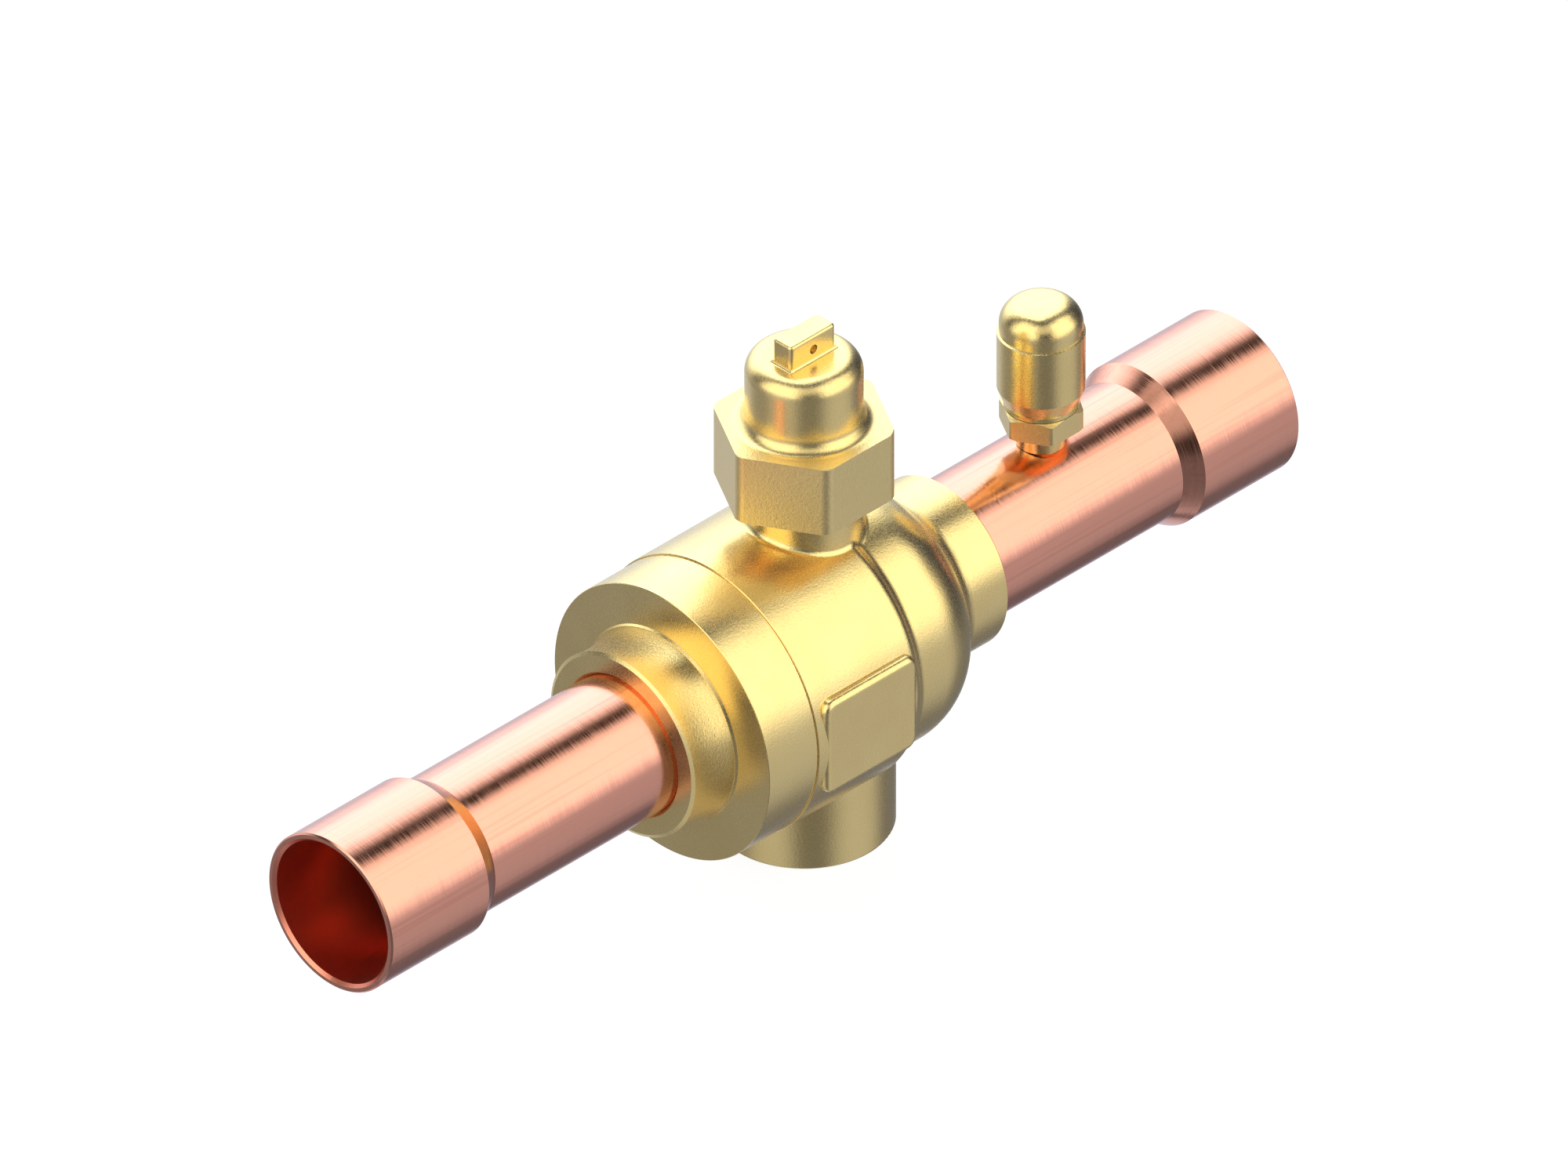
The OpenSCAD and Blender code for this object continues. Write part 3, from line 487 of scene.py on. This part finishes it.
def neck_thread(around=144, per_pitch=14):
    """The ridge rises one pitch in each turn: its height is a trapezoid wave of Z less the turn.

    The wave is a triangle wave times the flank less the share of the root, cut off at 0 and 1. The
    ridge comes and goes by the power of the run-out over its first and last pitch, and a wall
    inside the neck closes it.
    """
    rows = round((THREAD_TOP - THREAD_FOOT) / THREAD_PITCH * per_pitch)
    z = np.linspace(THREAD_FOOT, THREAD_TOP, rows)[None, :]
    theta = np.linspace(0, 2 * np.pi, around, endpoint=False)[:, None]
    phase = (z / THREAD_PITCH - theta / (2 * np.pi)) % 1.0
    triangle = 1 - np.abs(2 * phase - 1)
    ridge = np.clip(THREAD_FLANK * triangle - THREAD_ROOT_SHARE, 0, 1)
    ends = np.minimum(z - THREAD_FOOT, THREAD_TOP - z) / THREAD_PITCH
    fade = np.clip(ends, 0, 1) ** RUN_OUT
    radius = THREAD_ROOT_R + (THREAD_CREST_R - THREAD_ROOT_R) * ridge * fade
    wall = np.full((around, 2), THREAD_ROOT_R - THREAD_WALL)
    radius = np.concatenate([radius, wall], 1)
    z = np.broadcast_to(np.concatenate([z, [[THREAD_TOP, THREAD_FOOT]]], 1), radius.shape)
    return np.stack([radius * np.cos(theta), radius * np.sin(theta), z + AXIS_HEIGHT], -1)


grid_piece("neck_thread", neck_thread(), forged_brass)


# Ball. Forged brass, ground round and hard-chromed, so it is a bright mirror with a slight haze
# from the last lapping, whose fine strokes cross each other.
LAP_STROKE = 0.35 * MM
LAP_STRETCH = 0.12
LAP_ANGLES = (35, -40)


def lapped_chrome():
    """Hard chrome: a neutral, slightly blue mirror, hazier along its crossing lapping strokes."""
    material, tree, shader = new_material("lapped_hard_chrome", metallic=1.0, colour="D9DCE0")
    place = add(tree, "ShaderNodeTexCoord", out="Object")
    strokes = []
    for angle in LAP_ANGLES:
        turned = add(
            tree,
            "ShaderNodeMapping",
            {"Vector": place, "Rotation": (0, math.radians(angle), math.radians(angle)),
             "Scale": (1 / LAP_STROKE, LAP_STRETCH / LAP_STROKE, 1 / LAP_STROKE)},
        )
        strokes.append(add(tree, "ShaderNodeTexNoise", {"Vector": turned, "Scale": 1.0}))
    both = add(tree, "ShaderNodeMath", {0: strokes[0], 1: strokes[1]}, operation="MULTIPLY")
    haze = add(
        tree,
        "ShaderNodeMapRange",
        {"Value": both, "From Min": 0.15, "From Max": 0.4, "To Min": 0.05, "To Max": 0.16},
    )
    fill(tree, shader, {"Roughness": haze})
    return material


finish_nodes(lapped_chrome(), "ball")


# Ball seats and flat seals. Turned from white filled PTFE, which is waxy and a little cloudy,
# with the fine rings that the lathe tool leaves round the flow axis.
LATHE_RING = 0.3 * MM
LATHE_DEPTH = 0.008 * MM
CLOUD_WIDTH = 3.0 * MM
# A Wave Texture of scale 1 draws a ring every 0.314 units.
WAVE_TEXTURE_RING = 0.314


def turned_plastic():
    """White PTFE: cloudy off-white, half matt, with shallow lathe rings."""
    material, tree, shader = new_material("turned_white_ptfe")
    place = add(tree, "ShaderNodeTexCoord", out="Object")
    centred = add(tree, "ShaderNodeMapping", {"Vector": place, "Location": (0, 0, -AXIS_HEIGHT)})
    cloud = add(
        tree, "ShaderNodeTexNoise", {"Vector": place, "Scale": 1 / CLOUD_WIDTH, "Detail": 4.0}
    )
    colour = add(
        tree,
        "ShaderNodeMix",
        {0: cloud, 6: linear("F4F3EE"), 7: linear("E2E0D8")},
        out=2,
        data_type="RGBA",
    )
    rings = add(
        tree,
        "ShaderNodeTexWave",
        {"Vector": centred, "Scale": WAVE_TEXTURE_RING / LATHE_RING, "Distortion": 0.4, "Detail": 1.0},
        out=1,
        wave_type="RINGS",
        rings_direction="X",
    )
    bumps = add(tree, "ShaderNodeBump", {"Height": rings, "Distance": LATHE_DEPTH})
    shine = add(
        tree, "ShaderNodeMapRange", {"Value": cloud, "To Min": 0.34, "To Max": 0.52}
    )
    fill(tree, shader, {"Base Color": colour, "Roughness": shine, "Normal": bumps, "IOR": 1.36})
    fill(
        tree,
        shader,
        {"Subsurface Weight": 0.15, "Subsurface Radius": (1.0, 0.95, 0.9),
         "Subsurface Scale": 0.6 * MM},
    )
    return material


ptfe = turned_plastic()
finish_nodes(ptfe, "front_seat", "rear_seat", "thrust_washer")
finish_nodes(ptfe, "cap_gasket", "port_cap_gasket", "core_seal")


# Elastic rings. O-rings and spring rings moulded in black chloroprene, with a fine matt grain and
# a trace of grease that makes small places shinier.
MOULD_GRAIN = 0.12 * MM
MOULD_DEPTH = 0.01 * MM
GREASE_SPOT = 2.0 * MM


def moulded_rubber():
    """Black rubber: nearly black, matt, with shinier greased places."""
    material, tree, shader = new_material("moulded_black_rubber")
    place = add(tree, "ShaderNodeTexCoord", out="Object")
    grain = add(
        tree, "ShaderNodeTexNoise", {"Vector": place, "Scale": 1 / MOULD_GRAIN, "Detail": 3.0}
    )
    grease = add(tree, "ShaderNodeTexNoise", {"Vector": place, "Scale": 1 / GREASE_SPOT})
    colour = add(
        tree,
        "ShaderNodeMix",
        {0: grain, 6: linear("1B1B1D"), 7: linear("2B2B2D")},
        out=2,
        data_type="RGBA",
    )
    shine = add(
        tree,
        "ShaderNodeMapRange",
        {"Value": grease, "From Min": 0.4, "From Max": 0.65, "To Min": 0.62, "To Max": 0.3},
    )
    bumps = add(tree, "ShaderNodeBump", {"Height": grain, "Distance": MOULD_DEPTH})
    fill(tree, shader, {"Base Color": colour, "Roughness": shine, "Normal": bumps, "IOR": 1.52})
    return material


rubber = moulded_rubber()
finish_nodes(rubber, "front_seat_ring", "rear_seat_ring", "joint_seal_ring")
finish_nodes(rubber, "lower_stem_ring", "upper_stem_ring", "core_disc")


# Stem and stop pin. Turned stainless steel, with fine tool rings round the stem that draw the
# light out along it.
TOOL_RING = 0.22 * MM
TOOL_DEPTH = 0.012 * MM
TOOL_STREAK = 25 * MM


def turned_steel():
    """Turned stainless steel: light grey, satin, with rings across Z of uneven depth."""
    material, tree, shader = new_material("turned_stainless_steel", metallic=1.0, colour="C6C7C9")
    place = add(tree, "ShaderNodeTexCoord", out="Object")
    stretched = add(
        tree,
        "ShaderNodeMapping",
        {"Vector": place, "Scale": (1 / TOOL_STREAK, 1 / TOOL_STREAK, 1 / TOOL_RING)},
    )
    rings = add(tree, "ShaderNodeTexNoise", {"Vector": stretched, "Scale": 1.0, "Detail": 2.0})
    shine = add(
        tree,
        "ShaderNodeMapRange",
        {"Value": rings, "From Min": 0.3, "From Max": 0.7, "To Min": 0.2, "To Max": 0.36},
    )
    bumps = add(tree, "ShaderNodeBump", {"Height": rings, "Distance": TOOL_DEPTH})
    fill(tree, shader, {"Roughness": shine, "Normal": bumps})
    return material


steel = turned_steel()
finish_nodes(steel, "stem", "stop_pin", "core_spring")


# End connector. Turned from brass bar, screwed into the front of the body, and blasted with it.
turned_brass = brass("blasted_turned_brass", roughness=0.25, depth=0.9)
finish_nodes(turned_brass, "end_connector")


# Seal cap. Its dome and shoulder are turned. The hexagon below keeps the skin of the pressing,
# which is coarser and duller than the rest.
CAP_TURNED_R = 13.2 * MM
cap_brass = brass("pressed_cap_brass", roughness=0.28, depth=0.8, skin_round=(0.0, CAP_TURNED_R))
finish_nodes(cap_brass, "seal_cap")


# Tubes. Drawn copper, swaged to a socket at the open end and brazed into the brass. Polishing
# between rollers leaves short fine marks round the tube, and drawing leaves long ones along it.
# A roller mark's length is a share of the radius, and its tilt is the most that it leans by.
ROLL_MARK = 0.2 * MM
ROLL_LENGTH = 0.8
ROLL_TILT = 0.1
DRAW_MARK = 0.9 * MM
DRAW_LENGTH = 70 * MM
SALMON = "F3AC8E"
DEEP_SALMON = "EBA185"
# Painted reflection: the bore's redder colour stands in for light bouncing round inside the tube.
PAINTED_BORE_RED = "FE9C7C"
BORE_ROUGHNESS = 0.32


def copper(name):
    """Drawn copper: salmon and glossy, with short marks round the tube and faint lines along it.

    Each mark is its own narrow ring segment, duller or brighter than the next, and tilted a little
    round the tube, so the edge of a reflection frays along it. Inside, the bore is duller, and it is
    painted redder: a painted reflection of the light that bounces round in the copper bore.
    """
    material, tree, shader = new_material(name, metallic=1.0)
    place = add(tree, "ShaderNodeTexCoord", out="Object")
    centred = add(tree, "ShaderNodeMapping", {"Vector": place, "Location": (0, 0, -AXIS_HEIGHT)})
    around = add(tree, "ShaderNodeVectorMath", {0: centred, 1: (0, 1, 1)}, operation="MULTIPLY")
    around = add(tree, "ShaderNodeVectorMath", {0: around}, operation="NORMALIZE")
    along = add(
        tree, "ShaderNodeVectorMath", {0: centred, 1: (1 / ROLL_MARK, 0, 0)}, operation="MULTIPLY"
    )
    unrolled = add(
        tree,
        "ShaderNodeVectorMath",
        {0: around, 1: (1 / ROLL_LENGTH,) * 3, 2: along},
        operation="MULTIPLY_ADD",
    )
    marks = add(tree, "ShaderNodeTexNoise", {"Vector": unrolled, "Scale": 1.0, "Detail": 2.0})
    stretched = (1 / DRAW_LENGTH, 1 / DRAW_MARK, 1 / DRAW_MARK)
    drawn = add(tree, "ShaderNodeVectorMath", {0: centred, 1: stretched}, operation="MULTIPLY")
    lines = add(tree, "ShaderNodeTexNoise", {"Vector": drawn, "Scale": 1.0, "Detail": 2.0})
    normal = add(tree, "ShaderNodeTexCoord", out="Normal")
    facing = add(
        tree, "ShaderNodeVectorMath", {0: normal, 1: around}, out="Value", operation="DOT_PRODUCT"
    )
    inside = add(tree, "ShaderNodeMapRange", {"Value": facing, "From Min": 0.0, "From Max": -0.2})
    tone = add(tree, "ShaderNodeMapRange", {"Value": lines, "From Min": 0.52, "From Max": 0.74})
    colour = add(
        tree,
        "ShaderNodeMix",
        {0: tone, 6: linear(SALMON), 7: linear(DEEP_SALMON)},
        out=2,
        data_type="RGBA",
    )
    # Painted reflection: inside the bore the colour is painted redder, for the light that bounces
    # round in it.
    colour = add(
        tree, "ShaderNodeMix", {0: inside, 6: colour, 7: linear(PAINTED_BORE_RED)}, out=2, data_type="RGBA"
    )
    shine = add(
        tree,
        "ShaderNodeMapRange",
        {"Value": marks, "From Min": 0.32, "From Max": 0.7, "To Min": 0.13, "To Max": 0.24},
    )
    shine = add(
        tree, "ShaderNodeMix", {0: inside, 2: shine, 3: BORE_ROUGHNESS}, data_type="FLOAT"
    )
    tangent = add(
        tree, "ShaderNodeVectorMath", {0: (1, 0, 0), 1: around}, operation="CROSS_PRODUCT"
    )
    lean = add(
        tree, "ShaderNodeMath", {0: marks, 1: ROLL_TILT, 2: -ROLL_TILT / 2}, operation="MULTIPLY_ADD"
    )
    lean = add(tree, "ShaderNodeCombineXYZ", {"X": lean, "Y": lean, "Z": lean})
    tilted = add(
        tree, "ShaderNodeVectorMath", {0: tangent, 1: lean, 2: normal}, operation="MULTIPLY_ADD"
    )
    tilted = add(tree, "ShaderNodeVectorMath", {0: tilted}, operation="NORMALIZE")
    fill(tree, shader, {"Base Color": colour, "Roughness": shine, "Normal": tilted})
    return material


finish_nodes(copper("drawn_copper"), "front_tube", "rear_tube")


# Service port. A turned brass fitting brazed into the rear tube, with a spring-loaded core inside
# and a round screw cap. Its hexagon keeps the bar's skin.
PORT_X = 61.1 * MM
PORT_TURNED_R = 6.3 * MM
port_brass = brass(
    "turned_port_brass", roughness=0.25, depth=0.8, skin_round=(PORT_X, PORT_TURNED_R)
)
finish_nodes(port_brass, "port_fitting")
finish_nodes(turned_brass, "port_cap", "core_body", "core_pin")


# Core spring. Stainless wire, wound on a mandrel with its end turns closed up. It stands in the
# core body and shortens by the travel of the pin. Here it is a fixed wire of its own, in place of
# the solid spring, which is hidden.
SPRING_WIRE_D = 0.28 * MM
SPRING_TURNS = 8
SPRING_CLOSED = 0.9

spring_low, spring_high = (np.array(corner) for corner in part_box("core_spring"))
spring_length = spring_high[2] - spring_low[2]


def spring_wire(per_turn=28, around=12):
    """A round wire swept along a helix, whose rise is a wire's width in each closed end turn.

    The wire's section stands upright in the plane through the axis, and the free turns share what
    the closed ones leave of the height.
    """
    turns = np.linspace(0, SPRING_TURNS, SPRING_TURNS * per_turn + 1)
    free = SPRING_TURNS - 2 * SPRING_CLOSED
    closed_rise = SPRING_CLOSED * SPRING_WIRE_D
    rise = np.interp(
        turns,
        (0, SPRING_CLOSED, SPRING_CLOSED + free, SPRING_TURNS),
        (0, closed_rise, spring_length - SPRING_WIRE_D - closed_rise, spring_length - SPRING_WIRE_D),
    )[:, None]
    theta = 2 * np.pi * turns[:, None]
    section = np.linspace(0, 2 * np.pi, around, endpoint=False)[None, :]
    wire_r = SPRING_WIRE_D / 2
    radius = (spring_high[0] - spring_low[0]) / 2 - wire_r + wire_r * np.cos(section)
    z = spring_low[2] + wire_r + rise + wire_r * np.sin(section)
    x = (spring_low[0] + spring_high[0]) / 2 + radius * np.cos(theta)
    y = (spring_low[1] + spring_high[1]) / 2 + radius * np.sin(theta)
    return np.stack([x, y, z], -1)


spring = grid_piece("core_spring_wire", spring_wire(), steel, ring=False)
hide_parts("core_spring")
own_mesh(spring)
